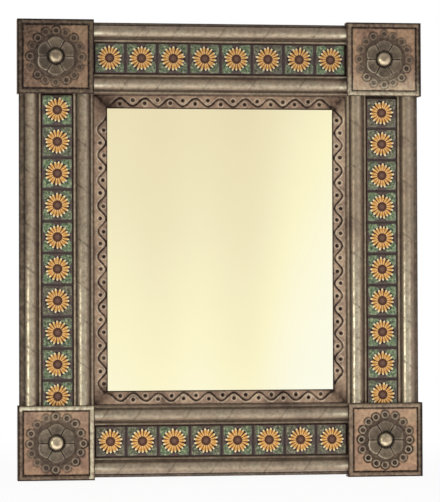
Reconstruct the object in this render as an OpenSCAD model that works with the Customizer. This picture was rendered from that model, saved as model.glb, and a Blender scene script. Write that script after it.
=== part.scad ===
// Wall mirror in an aged tin frame, set all round with small sunflower tiles.
// The frame is drawn lying face up, then stood on its lower edge against the wall:
// x runs to the right, y up the picture, and heights are measured from the wall.

/* [Tiles] */
// Side of one square tile
tile_side = 48; // [40:0.5:56]
// Joint between neighbouring tiles in the top and bottom rows
row_joint = 3; // [1:0.1:5]
// Joint between neighbouring tiles in the side columns
column_joint = 2.5; // [1:0.1:5]
// Thickness of a tile
tile_thick = 5.5; // [4:0.1:8]
// Thickness of the mastic that the tiles are bedded in
bed_thick = 1.2; // [0.6:0.1:2.5]
// Height of the mastic that has come up in the joints, above the bed
joint_fill = 4; // [1:0.1:5]
// Room between a tile and the side of its channel
tile_room = 0.8; // [0.4:0.1:2]
// Height of the raised glaze on a tile
glaze_rise = 0.5; // [0.2:0.1:1]
// Radius of the sunflower from its middle to the petal tips
flower_r = 19.8; // [16:0.2:22]
// Radius of the sunflower's dark middle
flower_eye_r = 7.6; // [5:0.2:9]
// Width of the bare strip between two corner leaves
leaf_parting = 14; // [8:0.5:20]
// Length of the side columns that is tucked under the bottom caps
column_tuck = 11; // [4:0.5:16]
// How much lower the right column is set than the left one
right_drop = 1.5; // [0:0.5:4]

/* [Rails] */
// Thickness of the tin sheet
sheet = 0.8; // [0.5:0.1:1.2]
// Radius of the outer roll of a rail
outer_roll_r = 10; // [8:0.2:13]
// Width of the sloping shoulder outside the outer roll of the top and bottom rails
row_shoulder_w = 5.4; // [2:0.2:8]
// Width of the same shoulder on the side rails
column_shoulder_w = 8.4; // [2:0.2:12]
// Drop of the shoulder from the roll's middle to the rail's side
shoulder_drop = 5; // [3:0.2:8]
// Radius of the inner roll of a rail
inner_roll_r = 10.2; // [8:0.2:12]
// Radius of the small beads beside the rolls
bead_r = 2.2; // [1.6:0.1:2.8]
// Flat ledge between a roll and the bead beside it
ledge_w = 2; // [1:0.1:4]
// How far the middle of a roll lies below the ledges
roll_sink = 1.5; // [0.9:0.1:3]
// Depth of the tile channel below the ledges
channel_depth = 4.2; // [3:0.1:5]
// Flat lip between the sight bead and the rail's inner edge
sight_lip_w = 1.3; // [1:0.1:3]
// Drop of the sight lip from the ledge to the liner
sight_drop = 2; // [1.2:0.1:4]
// Width of the rear flange that lies against the wall
flange_w = 14; // [10:0.5:20]

/* [Liner and glass] */
// Width of the stamped liner that shows between rail and glass
liner_w = 22; // [16:0.5:30]
// Width of the liner that is tucked under the rail
liner_tuck = 2; // [1.8:0.1:4]
// Drop of the liner's inner lip down to the glass
liner_lip = 1.2; // [0.8:0.1:3]
// Thickness of the mirror glass
glass_thick = 3; // [2:0.1:5]
// Thickness of the card behind the glass
card_thick = 2.8; // [1.5:0.1:4]
// Room between the glass edge and the rebate wall
glass_room = 1.4; // [1.3:0.1:1.8]
// Space left between the tabs behind the card and the wall
tab_off_wall = 1.4; // [0.8:0.1:3]
// Width of one retaining tab
tab_w = 14; // [8:0.5:24]
// Length of a tab across the card
tab_reach = 12; // [8:0.5:20]

/* [Stamped wave on the liner] */
// Length of one wave
wave_length = 40.4; // [30:0.2:60]
// Height of the wave from its middle line
wave_amp = 6.2; // [3:0.1:7]
// Distance of the wave's middle line from the liner's inner edge
wave_in = 10; // [8.5:0.5:12]
// Width of the stamped wave line
wave_line_w = 2.2; // [1:0.1:3]
// Depth of the wave line and the dots in the liner
stamp_depth = 0.4; // [0.2:0.05:0.5]
// Radius of a punched dot in the hollow of a wave
wave_dot_r = 2.8; // [1.5:0.1:3.5]
// Distance of the dots from the wave's middle line
wave_dot_off = 2.6; // [0:0.1:3]

/* [Corner caps] */
// How far a cap stands out past the rails' outer edges
cap_overhang = 3.2; // [2.4:0.2:10]
// Depth of the turned edge on a cap's two inner sides
cap_hem = 1.2; // [0.8:0.1:3]
// Height of a cap's skirt above the wall
skirt_off_wall = 1; // [0.5:0.1:3]
// Width of the raised border of a cap
border_w = 7.5; // [5:0.5:11]
// Rise of the border above the cap's panel
border_rise = 2; // [1:0.1:3]
// Distance from the cap's edge to its border
border_inset = 0.8; // [0.4:0.1:2]
// Width of the scored line inside the border
score_w = 1.4; // [0.8:0.1:2.5]
// Depth of the scored lines
score_depth = 0.4; // [0.2:0.05:0.5]
// Radius of the ring of stamped eyes
eye_ring_r = 42; // [40:0.2:43]
// Radius of one stamped eye
eye_r = 6.6; // [4:0.1:7]
// Radius of the punched middle of an eye
eye_dot_r = 2.2; // [1:0.1:3]
// Rise of an eye above the panel
eye_rise = 0.8; // [0.4:0.1:1.5]

/* [Rosettes] */
// Radius of a petal's round end
petal_r = 16; // [14:0.2:16.6]
// Distance of a petal's middle from the rosette's middle
petal_off = 15; // [14:0.2:16]
// Height of the petals' rims above the cap
petal_rise = 3.2; // [2.4:0.1:5]
// Depth of the dish in each petal
petal_dish = 1.7; // [0.8:0.1:2]
// Radius of a dish at the petal's rim
dish_r = 8; // [6:0.2:8.4]
// Radius of a dish's flat floor
dish_floor_r = 6; // [5.2:0.2:7]
// Width of the slits between the petals
petal_slit = 0.9; // [0.5:0.1:2]
// Radius of the domed boss
boss_r = 11; // [8:0.2:12]
// Rise of the boss above its seat
boss_rise = 7; // [4:0.2:10]
// Radius of the boss's shank
shank_r = 2; // [1.2:0.1:3]

/* [Hanger] */
// Radius of the ring's wire
wire_r = 1.5; // [1:0.1:1.8]
// Inside radius of the ring's bow
bow_r = 10.5; // [9:0.5:13]
// Radius of the ring's two corners at the middle of the wire
ring_corner_r = 3.5; // [2.5:0.1:4]
// Width of the hanger strap where it wraps the ring
barrel_w = 10; // [6:0.5:11]
// Width of the strap's plate
plate_w = 14; // [10:0.5:20]
// Length of the strap's plate
plate_len = 20; // [12:0.5:24]
// Distance from the rail's outer edge to the ring's pivot
pivot_in = 56; // [53:0.5:61]

/* [Hidden] */
$fn = 96;

// Tiles in the top and bottom rows, and in the side columns
tiles_across = 8;
tiles_down = 10;
petals_on_tile = 18;
petals_on_rosette = 6;
eyes_on_cap = 16;
// Steps that draw one length of the wave
wave_steps = 12;

// Gap left between a curved crest and the piece soldered over it
solder_gap = 0.3;
// Radial clearance of the ring's wire in its barrel
pivot_clear = 0.1;
// Radial clearance of the boss's shank in its holes
shank_clear = 0.2;
// Extra length of a cutting body past the piece that it cuts
past = 1;

row_pitch = tile_side + row_joint;
column_pitch = tile_side + column_joint;
channel_w = tile_side + 2 * tile_room;

// Stations across a rail's mouldings, from the outer roll's foot inwards
bead_1_u = 2 * outer_roll_r + ledge_w + bead_r;
channel_u = bead_1_u + bead_r + sheet;
bead_2_u = channel_u + channel_w + sheet + bead_r;
inner_roll_u = bead_2_u + bead_r + ledge_w / 2 + inner_roll_r;
sight_bead_u = inner_roll_u + inner_roll_r + ledge_w / 2 + bead_r;
moulding_w = sight_bead_u + bead_r + sight_lip_w;
tile_row_in = moulding_w - channel_u - channel_w / 2;

// Heights above the wall, from the tabs behind the card to the caps
card_back = tab_off_wall + sheet;
glass_back = card_back + card_thick;
glass_front = glass_back + glass_thick;
liner_front = glass_front + liner_lip + sheet;
ledge_h = liner_front + sight_drop;
roll_h = ledge_h - roll_sink;
floor_h = ledge_h - channel_depth;
tile_back = floor_h + bed_thick;
tile_front = tile_back + tile_thick;
crest_h = roll_h + max(outer_roll_r, inner_roll_r);
cap_under = crest_h + solder_gap + cap_hem;
cap_front = cap_under + sheet;

// Radius and middle height of the round border on a cap
border_sink = sheet / 4;
border_full = border_rise + border_sink;
border_round_r = (border_w * border_w / 4 + border_full * border_full) / (2 * border_full);
border_round_h = cap_front + border_rise - border_round_r;

// Sizes in the plane of the wall
span_w = tiles_across * row_pitch;
span_h = tiles_down * column_pitch - column_tuck;
row_rail_w = row_shoulder_w + moulding_w;
column_rail_w = column_shoulder_w + moulding_w;
frame_w = span_w + 2 * column_rail_w;
frame_h = span_h + 2 * row_rail_w;
cap_w = column_rail_w + cap_overhang;
cap_h = row_rail_w + cap_overhang;
row_y = span_h / 2 + tile_row_in;
column_x = span_w / 2 + tile_row_in;
liner_full = liner_w + liner_tuck;
rebate_w = span_w + 2 * (liner_tuck - sheet);
rebate_h = span_h + 2 * (liner_tuck - sheet);
glass_w = rebate_w - 2 * glass_room;
glass_h = rebate_h - 2 * glass_room;

// The ring's pivot behind the top rail's tile channel
pivot_y = frame_h / 2 - pivot_in;
pivot_h = floor_h - sheet - sheet - solder_gap - wire_r;
barrel_r = wire_r + pivot_clear + sheet;
bow_mid_r = bow_r + wire_r;

// Stands the flat drawing up: heights above the wall become distances in front of it
module hung() {
    rotate([90, 0, 0]) children();
}

// A bar of one section along x, its outer edge at y = 0, mitred at both ends to meet a
// bar of the other width
module mitred_bar(length, width, other_w) {
    top = cap_front;
    intersection() {
        translate([-length / 2, 0, 0])
            rotate([90, 0, 90]) linear_extrude(length) children();
        translate([0, 0, -past]) linear_extrude(top + 2 * past)
            polygon([
                [-length / 2, 0], [length / 2, 0],
                [length / 2 - other_w, width], [-length / 2 + other_w, width]
            ]);
    }
}

// Half of a tin tube, standing on its two edges
module arch(r) {
    intersection() {
        difference() {
            circle(r);
            circle(r - sheet);
        }
        translate([-r, 0]) square([2 * r, r]);
    }
}

// A strip of sheet that lies flat with its face at the ledges' height
module ledge(from_u, to_u) {
    translate([from_u, ledge_h - sheet]) square([to_u - from_u, sheet]);
}

// The outer edge of a rail: flange, side and sloping shoulder
module shoulder(shoulder_w) {
    side_h = roll_h - shoulder_drop;
    square([flange_w, sheet]);
    square([sheet, side_h]);
    polygon([
        [0, side_h], [0, side_h - sheet], [sheet, side_h - sheet],
        [shoulder_w + sheet, roll_h], [shoulder_w, roll_h]
    ]);
}

// The rolls, beads and tile channel inside the shoulder
module mouldings() {
    translate([outer_roll_r, roll_h]) arch(outer_roll_r);
    ledge(2 * outer_roll_r - sheet, bead_1_u - bead_r + sheet);
    translate([bead_1_u, ledge_h]) arch(bead_r);
    ledge(bead_1_u + bead_r - sheet, channel_u);
    translate([channel_u - sheet, floor_h - sheet]) square([sheet, channel_depth + sheet]);
    translate([channel_u - sheet, floor_h - sheet]) square([channel_w + 2 * sheet, sheet]);
    translate([channel_u + channel_w, floor_h - sheet]) square([sheet, channel_depth + sheet]);
    ledge(channel_u + channel_w, bead_2_u - bead_r + sheet);
    translate([bead_2_u, ledge_h]) arch(bead_r);
    ledge(bead_2_u + bead_r - sheet, inner_roll_u - inner_roll_r + sheet);
    translate([inner_roll_u, roll_h]) arch(inner_roll_r);
    ledge(inner_roll_u + inner_roll_r - sheet, sight_bead_u - bead_r + sheet);
    translate([sight_bead_u, ledge_h]) arch(bead_r);
    ledge(sight_bead_u + bead_r - sheet, moulding_w);
    translate([moulding_w - sheet, liner_front]) square([sheet, sight_drop]);
}

// One rail is a single strip of tin, rolled and folded to this section
module rail(length, shoulder_w, other_w) {
    color("#857463") mitred_bar(length, shoulder_w + moulding_w, other_w) {
        shoulder(shoulder_w);
        translate([shoulder_w, 0]) mouldings();
    }
}

module row_rail() {
    rail(frame_w, row_shoulder_w, column_rail_w);
}

module column_rail() {
    rail(frame_h, column_shoulder_w, row_rail_w);
}

module rail_bottom() {
    hung() translate([0, -frame_h / 2, 0]) row_rail();
}

module rail_top() {
    hung() translate([0, frame_h / 2, 0]) rotate([0, 0, 180]) row_rail();
}

module rail_left() {
    hung() translate([-frame_w / 2, 0, 0]) rotate([0, 0, -90]) column_rail();
}

module rail_right() {
    hung() translate([frame_w / 2, 0, 0]) rotate([0, 0, 90]) column_rail();
}

// The liner's band, its rebate wall round the glass and its lip on the glass
module liner_section() {
    translate([0, liner_front - sheet]) square([liner_full, sheet]);
    translate([0, tab_off_wall]) square([sheet, liner_front - tab_off_wall]);
    translate([liner_full - sheet, glass_front]) square([sheet, liner_lip + sheet]);
}

// Place of the wave across the liner: it swings outwards at the liner's middle
function wave_at(x) = -wave_amp * cos(360 * x / wave_length);

// The stamped line runs a whole number of half waves each way from the middle
module wave_line(length) {
    half_waves = floor(length / wave_length);
    steps = half_waves * wave_steps / 2;
    step = wave_length / wave_steps;
    upper = [for (i = [-steps : steps]) [i * step, wave_at(i * step) + wave_line_w / 2]];
    lower = [for (i = [-steps : steps]) [-i * step, wave_at(i * step) - wave_line_w / 2]];
    linear_extrude(stamp_depth + past) polygon(concat(upper, lower));
}

// One dot sits under each crest and one over each trough
module wave_dots(length) {
    half_waves = floor(length / wave_length);
    for (i = [-half_waves + 1 : half_waves - 1])
        translate([i * wave_length / 2, (i % 2 == 0 ? 1 : -1) * wave_dot_off, 0])
            cylinder(r = wave_dot_r, h = stamp_depth + past);
}

module liner(length) {
    shown = length - 2 * liner_full;
    color("#8f7f6b") difference() {
        mitred_bar(length, liner_full, liner_full) liner_section();
        translate([0, liner_full - wave_in, liner_front - stamp_depth]) {
            wave_line(shown);
            wave_dots(shown);
        }
    }
}

module liner_bottom() {
    hung() translate([0, -span_h / 2 - liner_tuck, 0]) liner(span_w + 2 * liner_tuck);
}

module liner_top() {
    hung() translate([0, span_h / 2 + liner_tuck, 0])
        rotate([0, 0, 180]) liner(span_w + 2 * liner_tuck);
}

module liner_left() {
    hung() translate([-span_w / 2 - liner_tuck, 0, 0])
        rotate([0, 0, -90]) liner(span_h + 2 * liner_tuck);
}

module liner_right() {
    hung() translate([span_w / 2 + liner_tuck, 0, 0])
        rotate([0, 0, 90]) liner(span_h + 2 * liner_tuck);
}

// Puts a piece drawn for the bottom left corner, its outer corner at 0, at any corner
module at_corner(side, level) {
    hung()
        mirror([side > 0 ? 1 : 0, 0, 0]) mirror([0, level > 0 ? 1 : 0, 0])
            translate([-frame_w / 2 - cap_overhang, -frame_h / 2 - cap_overhang, 0]) children();
}

// Runs one profile each way across the cap, so that they meet at the mitres
module crossed(w, h) {
    intersection() {
        rotate([90, 0, 90]) linear_extrude(w) children(0);
        translate([0, h, 0]) rotate([90, 0, 0]) linear_extrude(h) children(1);
    }
}

// The low round border: its edges are sunk into the panel, which stays flat inside it
module border() {
    w = cap_w - 2 * border_inset;
    h = cap_h - 2 * border_inset;
    translate([border_inset, border_inset, 0]) difference() {
        crossed(w, h) {
            border_crest(h);
            border_crest(w);
        }
        crossed(w, h) {
            border_hollow(h);
            border_hollow(w);
        }
    }
}

// Section through both sides of the border, filled between them to the crest
module border_crest(length) {
    half = border_w / 2;
    translate([half, cap_front - border_sink]) square([length - border_w, border_full]);
    for (x = [half, length - half])
        intersection() {
            translate([x, border_round_h]) circle(border_round_r);
            translate([x - half, cap_front - 2 * border_sink])
                square([border_w, border_full + 2 * border_sink]);
        }
}

// Section through the sunk field inside the border
module border_hollow(length) {
    half = border_w / 2;
    difference() {
        translate([half, cap_front]) square([length - border_w, border_rise + past]);
        for (x = [half, length - half])
            translate([x, border_round_h]) circle(border_round_r);
    }
}

// A line scored into the panel just inside the border
module border_score() {
    margin = 2 * (border_inset + border_w);
    translate([cap_w / 2, cap_h / 2, cap_front - score_depth])
        linear_extrude(score_depth + past) difference() {
            square([cap_w - margin, cap_h - margin], center = true);
            square([cap_w - margin - 2 * score_w, cap_h - margin - 2 * score_w], center = true);
        }
}

module stamped_eyes(r, from_h, height) {
    for (i = [0 : eyes_on_cap - 1])
        translate([cap_w / 2, cap_h / 2, from_h])
            rotate([0, 0, i * 360 / eyes_on_cap]) translate([eye_ring_r, 0, 0])
                cylinder(r = r, h = height);
}

// A tin lid over the mitre: panel, two deep skirts outside and two short hems inside
module corner_cap() {
    end_x = cap_w - sheet;
    end_y = cap_h - sheet;
    skirt_h = cap_front - skirt_off_wall;
    return_w = cap_overhang - solder_gap;
    color("#80705f") difference() {
        union() {
            translate([0, 0, cap_under]) cube([cap_w, cap_h, sheet]);
            translate([0, 0, skirt_off_wall]) cube([sheet, cap_h, skirt_h]);
            translate([0, 0, skirt_off_wall]) cube([cap_w, sheet, skirt_h]);
            translate([0, 0, skirt_off_wall]) cube([return_w, cap_h, sheet]);
            translate([0, 0, skirt_off_wall]) cube([cap_w, return_w, sheet]);
            translate([0, end_y, skirt_off_wall]) cube([return_w, sheet, skirt_h]);
            translate([end_x, 0, skirt_off_wall]) cube([sheet, return_w, skirt_h]);
            translate([0, end_y, cap_under - cap_hem]) cube([cap_w, sheet, cap_hem + sheet]);
            translate([end_x, 0, cap_under - cap_hem]) cube([sheet, cap_h, cap_hem + sheet]);
            border();
            stamped_eyes(eye_r, cap_front - sheet / 2, sheet / 2 + eye_rise);
        }
        border_score();
        stamped_eyes(eye_dot_r, cap_front + eye_rise / 4, eye_rise + past);
        translate([cap_w / 2, cap_h / 2, cap_under - past])
            cylinder(r = shank_r + shank_clear, h = sheet + 2 * past);
    }
}

// Outline of the six petals, with or without a slit between each two
module petals(slit) {
    difference() {
        union() {
            circle(petal_off);
            for (i = [0 : petals_on_rosette - 1])
                rotate(30 + i * 360 / petals_on_rosette) translate([petal_off, 0]) circle(petal_r);
        }
        if (slit > 0)
            for (i = [0 : petals_on_rosette - 1])
                rotate(i * 360 / petals_on_rosette)
                    translate([boss_r + 2 * sheet, -slit / 2]) square([petal_off + petal_r, slit]);
    }
}

// A pressed flower: dished petals with slits between them round a well for the boss
module rosette() {
    well_r = boss_r + shank_clear;
    seat_h = petal_rise / 2;
    dish_off = (well_r + petal_off + petal_r) / 2;
    dish_spread = (dish_r - dish_floor_r) / petal_dish;
    color("#6f675e") translate([cap_w / 2, cap_h / 2, cap_front]) difference() {
        union() {
            linear_extrude(seat_h) difference() {
                petals(0);
                circle(shank_r + shank_clear);
            }
            linear_extrude(petal_rise) difference() {
                petals(petal_slit);
                circle(well_r);
            }
        }
        for (i = [0 : petals_on_rosette - 1])
            rotate([0, 0, 30 + i * 360 / petals_on_rosette])
                translate([dish_off, 0, petal_rise - petal_dish])
                    cylinder(r1 = dish_floor_r, r2 = dish_r + past * dish_spread, h = petal_dish + past);
    }
}

// A domed stud whose shank goes through rosette and cap and is spread behind the panel
module boss() {
    seat_h = cap_front + petal_rise / 2;
    ball_r = (boss_r * boss_r + boss_rise * boss_rise) / (2 * boss_rise);
    translate([cap_w / 2, cap_h / 2, 0]) {
        intersection() {
            translate([0, 0, seat_h + boss_rise - ball_r]) sphere(ball_r);
            translate([0, 0, seat_h]) cylinder(r = boss_r + past, h = boss_rise + past);
        }
        translate([0, 0, cap_under - sheet]) cylinder(r = shank_r, h = seat_h - cap_under + 2 * sheet);
        translate([0, 0, cap_under - sheet]) cylinder(r = 2 * shank_r, h = sheet);
    }
}

module rosette_bosses() {
    color("#b3a68c") for (side = [-1, 1], level = [-1, 1])
        at_corner(side, level) boss();
}

// Outline of the petals: each has a blunt tip and a notch beside it
function petal_outline() = [
    for (i = [0 : petals_on_tile - 1], p = [[-0.5, 0.74], [-0.28, 0.93], [-0.1, 1], [0.1, 1], [0.28, 0.93]])
        flower_r * p[1] * [
            cos((i + p[0]) * 360 / petals_on_tile),
            sin((i + p[0]) * 360 / petals_on_tile)
        ]
];

// The leaves fill the corners of the tile outside the flower
module corner_leaves() {
    leaf_margin = tile_side / 24;
    difference() {
        square(tile_side - 2 * leaf_margin, center = true);
        circle(flower_r + leaf_margin / 2);
        square([leaf_parting, tile_side], center = true);
        square([tile_side, leaf_parting], center = true);
    }
}

// One fired tile, its glaze standing up in petals, middle and corner leaves
module tile() {
    glaze_root = tile_thick / 4;
    color("#9b8a63") translate([0, 0, tile_back]) union() {
        translate([-tile_side / 2, -tile_side / 2, 0]) cube([tile_side, tile_side, tile_thick]);
        translate([0, 0, tile_thick - glaze_root]) {
            linear_extrude(glaze_root + glaze_rise) polygon(petal_outline());
            linear_extrude(glaze_root + glaze_rise / 2) corner_leaves();
            cylinder(r = flower_eye_r, h = glaze_root + 2 * glaze_rise);
        }
    }
}

module tile_top(i) {
    hung() translate([(i - (tiles_across + 1) / 2) * row_pitch, row_y, 0]) tile();
}

module tile_bottom(i) {
    hung() translate([(i - (tiles_across + 1) / 2) * row_pitch, -row_y, 0]) tile();
}

module tile_left(i) {
    hung() translate([-column_x, span_h / 2 - (i - 0.5) * column_pitch, 0]) tile();
}

module tile_right(i) {
    hung() translate([column_x, span_h / 2 - right_drop - (i - 0.5) * column_pitch, 0]) tile();
}

// Mastic spread under a run of tiles, with a rib come up in each joint
module bed(tiles, joint) {
    pitch = tile_side + joint;
    run = tiles * pitch - joint;
    translate([-run / 2, -tile_side / 2, floor_h]) {
        cube([run, tile_side, bed_thick]);
        for (i = [1 : tiles - 1])
            translate([i * pitch - joint, 0, 0]) cube([joint, tile_side, bed_thick + joint_fill]);
    }
}

module tile_bedding() {
    column_y = (span_h - tiles_down * column_pitch) / 2;
    color("#5d564c") hung() {
        for (level = [-1, 1])
            translate([0, level * row_y, 0]) bed(tiles_across, row_joint);
        translate([-column_x, column_y, 0]) rotate([0, 0, 90]) bed(tiles_down, column_joint);
        translate([column_x, column_y - right_drop, 0])
            rotate([0, 0, 90]) bed(tiles_down, column_joint);
    }
}

module mirror_glass() {
    color("#f2ecd2") hung()
        translate([-glass_w / 2, -glass_h / 2, glass_back]) cube([glass_w, glass_h, glass_thick]);
}

module backing_card() {
    color("#a58a63") hung()
        translate([-glass_w / 2, -glass_h / 2, card_back]) cube([glass_w, glass_h, card_thick]);
}

// A bent strip soldered inside the rebate wall and folded over the card
module retaining_tab(edge) {
    translate([-tab_w / 2, edge - sheet, tab_off_wall]) cube([tab_w, sheet, glass_front - tab_off_wall]);
    translate([-tab_w / 2, edge - tab_reach, tab_off_wall]) cube([tab_w, tab_reach, sheet]);
}

module retaining_tabs() {
    color("#7b7468") hung() {
        for (turn = [0, 180], x = [-rebate_w / 4, rebate_w / 4])
            rotate([0, 0, turn]) translate([x, 0, 0]) retaining_tab(rebate_h / 2);
        for (turn = [90, 270], x = [-rebate_h / 3, 0, rebate_h / 3])
            rotate([0, 0, turn]) translate([x, 0, 0]) retaining_tab(rebate_w / 2);
    }
}

// Flat tin angles soldered to the rear flanges across the four mitres
module corner_gussets() {
    arm = 3.5 * flange_w;
    near = 2 * sheet;
    far = flange_w - sheet;
    color("#7b7468") for (side = [-1, 1], level = [-1, 1])
        at_corner(side, level)
            translate([cap_overhang, cap_overhang, sheet]) linear_extrude(sheet)
                polygon([[near, near], [arm, near], [arm, far], [far, far], [far, arm], [near, arm]]);
}

// A strip folded round the ring's straight side and soldered under the tile channel
module hanger_strap() {
    color("#7b7468") hung() translate([0, pivot_y, 0]) difference() {
        union() {
            translate([-plate_w / 2, -plate_len, floor_h - 2 * sheet])
                cube([plate_w, plate_len + barrel_r, sheet]);
            translate([-barrel_w / 2, 0, pivot_h]) rotate([0, 90, 0])
                cylinder(r = barrel_r, h = barrel_w);
            translate([-barrel_w / 2, -barrel_r, pivot_h])
                cube([barrel_w, 2 * barrel_r, floor_h - 1.5 * sheet - pivot_h]);
        }
        translate([-barrel_w / 2 - past, 0, pivot_h]) rotate([0, 90, 0])
            cylinder(r = wire_r + pivot_clear, h = barrel_w + 2 * past);
    }
}

// A bent wire ring with one straight side, hanging flat behind the rail
module hanger_ring() {
    bar = 2 * (bow_mid_r - ring_corner_r);
    color("#6b645a") hung() translate([0, pivot_y, pivot_h]) {
        translate([-bar / 2, 0, 0]) rotate([0, 90, 0]) cylinder(r = wire_r, h = bar);
        for (side = [-1, 1])
            mirror([side < 0 ? 1 : 0, 0, 0]) translate([bar / 2, -ring_corner_r, 0])
                rotate_extrude(angle = 90) translate([ring_corner_r, 0]) circle(wire_r, $fn = 32);
        translate([0, -ring_corner_r, 0]) rotate([0, 0, 180])
            rotate_extrude(angle = 180) translate([bow_mid_r, 0]) circle(wire_r, $fn = 32);
    }
}

rail_top();
rail_bottom();
rail_left();
rail_right();
liner_top();
liner_bottom();
liner_left();
liner_right();
at_corner(-1, 1) corner_cap();  // cap_top_left
at_corner(1, 1) corner_cap();  // cap_top_right
at_corner(-1, -1) corner_cap();  // cap_bottom_left
at_corner(1, -1) corner_cap();  // cap_bottom_right
at_corner(-1, 1) rosette();  // rosette_top_left
at_corner(1, 1) rosette();  // rosette_top_right
at_corner(-1, -1) rosette();  // rosette_bottom_left
at_corner(1, -1) rosette();  // rosette_bottom_right
rosette_bosses();
tile_bedding();
mirror_glass();
backing_card();
retaining_tabs();
corner_gussets();
hanger_strap();
hanger_ring();
for (i = [1 : tiles_across]) {
    tile_top(i);
    tile_bottom(i);
}
for (i = [1 : tiles_down]) {
    tile_left(i);
    tile_right(i);
}
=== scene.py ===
# Wall mirror in an aged tin frame, set all round with small sunflower tiles.
# It stands on a pale floor: x runs to the right, z up, and the front looks along -y.
import math

import bmesh
import bpy
import numpy as np
from mathutils import Matrix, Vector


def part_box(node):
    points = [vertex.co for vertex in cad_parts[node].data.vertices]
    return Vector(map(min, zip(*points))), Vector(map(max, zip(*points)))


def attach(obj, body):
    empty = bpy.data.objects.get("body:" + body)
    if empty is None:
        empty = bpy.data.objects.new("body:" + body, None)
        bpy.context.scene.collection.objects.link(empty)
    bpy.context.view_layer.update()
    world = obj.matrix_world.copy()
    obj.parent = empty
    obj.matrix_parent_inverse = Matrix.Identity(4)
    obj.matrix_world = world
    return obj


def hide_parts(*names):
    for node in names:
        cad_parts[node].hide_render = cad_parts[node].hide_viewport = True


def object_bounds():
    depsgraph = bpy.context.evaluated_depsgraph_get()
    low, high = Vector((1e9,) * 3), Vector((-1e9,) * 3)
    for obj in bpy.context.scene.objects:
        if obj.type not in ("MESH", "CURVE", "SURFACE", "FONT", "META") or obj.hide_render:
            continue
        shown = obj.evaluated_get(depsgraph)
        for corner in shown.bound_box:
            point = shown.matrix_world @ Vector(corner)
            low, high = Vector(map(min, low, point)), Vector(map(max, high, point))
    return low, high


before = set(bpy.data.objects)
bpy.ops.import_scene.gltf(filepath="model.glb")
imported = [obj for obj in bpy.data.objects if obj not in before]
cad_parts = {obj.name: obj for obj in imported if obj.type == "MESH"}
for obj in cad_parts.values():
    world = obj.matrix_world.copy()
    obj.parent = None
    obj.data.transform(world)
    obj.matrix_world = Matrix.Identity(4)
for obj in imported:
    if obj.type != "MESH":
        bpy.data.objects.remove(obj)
cad_box = [list(corner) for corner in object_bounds()]
mm = 0.001

# The camera
# It stands 4 m off, a little left of the mirror and just below its middle, and looks
# through a long lens that takes in the whole frame.
camera_place = (-0.5379, -3.9628, -0.0810)
camera_turn = math.radians(7.73)
camera_tilt = math.radians(1.128)
camera_roll = math.radians(-0.18)
focal_in_pixels = 2490.8
picture_height = 502
sensor_width = 36


def shown(name, data):
    """An object of that name and data, put into the scene."""
    made = bpy.data.objects.new(name, data)
    bpy.context.scene.collection.objects.link(made)
    return made


def standing(across, over, away, place):
    """The pose of a camera or lamp: its own x, y and z directions, and where it stands."""
    return Matrix([(across[k], over[k], away[k], place[k]) for k in range(3)] + [(0, 0, 0, 1)])


ahead = np.array([
    math.sin(camera_turn) * math.cos(camera_tilt),
    math.cos(camera_turn) * math.cos(camera_tilt),
    math.sin(camera_tilt),
])
level = np.array([math.cos(camera_turn), -math.sin(camera_turn), 0.0])
upright = np.cross(level, ahead)
right = math.cos(camera_roll) * level + math.sin(camera_roll) * upright
up = math.cos(camera_roll) * upright - math.sin(camera_roll) * level
camera = shown("camera", bpy.data.cameras.new("camera"))
camera.data.sensor_width = sensor_width
camera.data.lens = focal_in_pixels * sensor_width / picture_height
camera.matrix_world = standing(right, up, -ahead, camera_place)
bpy.context.scene.camera = camera
bpy.context.scene.view_settings.view_transform = "Standard"


# The light and the floor
# A pale room with a window low on the left. The floor is white paper: bright in front of
# the mirror, where the light falls on it, and it fades to white further out.
def shade(tree, kind, feeds=None, **settings):
    """Adds one node. feeds gives its inputs plain values or other nodes' outputs."""
    made = tree.nodes.new("ShaderNode" + kind)
    for key, value in settings.items():
        setattr(made, key, value)
    for key, value in (feeds or {}).items():
        if isinstance(value, bpy.types.NodeSocket):
            tree.links.new(value, made.inputs[key])
        else:
            made.inputs[key].default_value = value
    return made


def paint(red, green, blue):
    """A colour as the eye sees it, each part from 0 to 255."""
    parts = [value / 255 for value in (red, green, blue)]
    return [p / 12.92 if p < 0.04045 else ((p + 0.055) / 1.055) ** 2.4 for p in parts] + [1.0]


def grey(value):
    return [value, value, value, 1.0]


def greys(*stops):
    """Stops for a ramp of greys: pairs of place and brightness."""
    return [(place, grey(value)) for place, value in stops]


def tones(*stops):
    """Stops for a ramp of colours: each a place, then red, green and blue."""
    return [(place, paint(*colour)) for place, *colour in stops]


def ramp(tree, factor, stops):
    """Runs through colours: stops are (place from 0 to 1, colour)."""
    made = shade(tree, "ValToRGB", {"Fac": factor})
    made.color_ramp.elements[0].position = stops[0][0]
    made.color_ramp.elements[0].color = stops[0][1]
    made.color_ramp.elements[1].position = stops[1][0]
    made.color_ramp.elements[1].color = stops[1][1]
    for place, colour in stops[2:]:
        made.color_ramp.elements.new(place).color = colour
    return made.outputs["Color"]


def mixed(tree, factor, first, second, how="MIX"):
    return shade(tree, "Mix", {0: factor, 6: first, 7: second}, data_type="RGBA", blend_type=how).outputs[2]


def math_of(tree, how, first, second=0.0):
    return shade(tree, "Math", {0: first, 1: second}, operation=how).outputs[0]


def times(tree, first, second):
    return math_of(tree, "MULTIPLY", first, second)


def plus(tree, first, second):
    return math_of(tree, "ADD", first, second)


def eased(tree, value, low, high, out_low=0.0, out_high=1.0):
    feeds = {"Value": value, "From Min": low, "From Max": high, "To Min": out_low, "To Max": out_high}
    return shade(tree, "MapRange", feeds, interpolation_type="SMOOTHSTEP").outputs["Result"]


def new_finish(name):
    """A material with an empty node tree."""
    made = bpy.data.materials.new(name)
    made.use_nodes = True
    made.node_tree.nodes.clear()
    return made, made.node_tree


def to_surface(tree, shader):
    tree.links.new(shader.outputs[0], shade(tree, "OutputMaterial").inputs["Surface"])


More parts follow.
